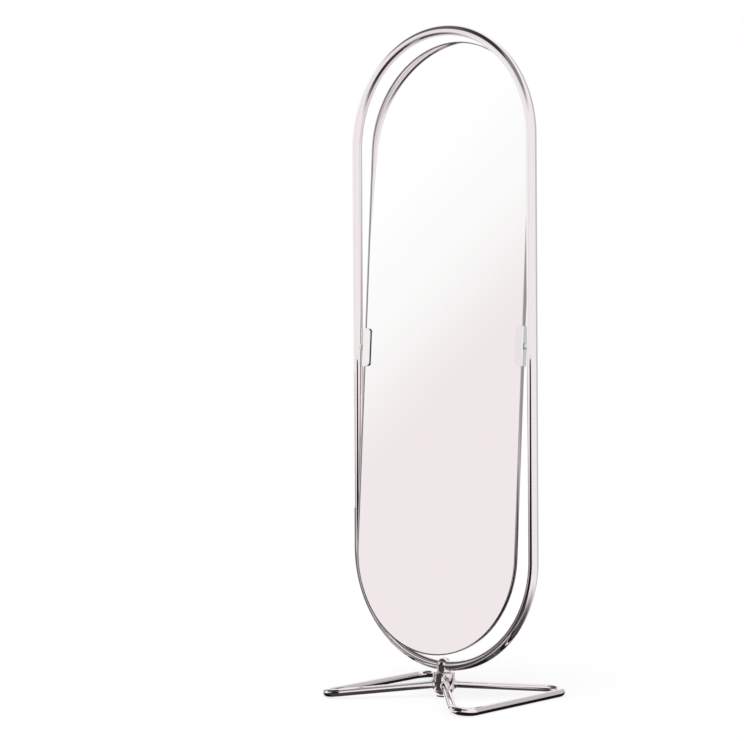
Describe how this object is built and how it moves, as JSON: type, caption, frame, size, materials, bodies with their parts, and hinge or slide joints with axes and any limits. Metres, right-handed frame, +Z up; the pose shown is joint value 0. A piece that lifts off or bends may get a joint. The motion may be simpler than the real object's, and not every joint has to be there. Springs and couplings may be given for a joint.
{
  "type": "floor mirror",
  "caption": "Tall oval floor mirror that tilts on side pivots inside a chromed tube hoop, on a hub with two triangular tube wings.",
  "frame": {"origin": "on the floor under the middle of the hub, the bottom centre of the whole mirror", "axes": "+Z up, +X along the pivot line towards the mirror's right side as seen from in front, -Y the way the glass faces"},
  "size_m": [0.6, 0.4294, 1.72],
  "materials": {
    "hoop_chrome": "polished chrome plate",
    "base_chrome": "polished chrome plate",
    "hub_chrome": "chromed casting",
    "rim_chrome": "chromed band",
    "clip_chrome": "polished chrome plate",
    "zinc_plate": "zinc plated",
    "mirror_face": "silvered float glass",
    "hardboard": "pressed hardboard",
    "foam_tape": "foam tape",
    "black_rubber": "matte",
    "nylon": "satin"
  },
  "bodies": {
    "stand": {"frame_hoop": "hoop_chrome", "frame_bottom_arc": "hoop_chrome", "hoop_spigot_left": "hoop_chrome", "hoop_spigot_right": "hoop_chrome", "spigot_screws": "zinc_plate", "hub_body": "hub_chrome", "hub_foot_pad": "black_rubber", "hub_bolt": "zinc_plate", "hub_bolt_washer": "zinc_plate", "hub_saddle_nut": "zinc_plate", "base_wing_left": "base_chrome", "base_wing_right": "base_chrome", "wing_grub_screws": "zinc_plate", "pivot_bush_left": "nylon", "pivot_bush_right": "nylon"},
    "panel": {"rim_band": "rim_chrome", "backing_board": "hardboard", "mounting_tape": "foam_tape", "mirror_glass": "mirror_face", "clip_channel_left": "clip_chrome", "clip_channel_right": "clip_chrome", "clip_pad_left": "black_rubber", "clip_pad_right": "black_rubber", "clip_screws": "zinc_plate", "pivot_pin_left": "zinc_plate", "pivot_pin_right": "zinc_plate", "friction_washer_left": "black_rubber", "friction_washer_right": "black_rubber"}
  },
  "joints": [
    {"name": "mirror_tilt", "type": "hinge", "parent": "stand", "child": "panel", "pos_m": [0, 0, 0.897], "axis": [1, 0, 0], "continuous": true}
  ]
}
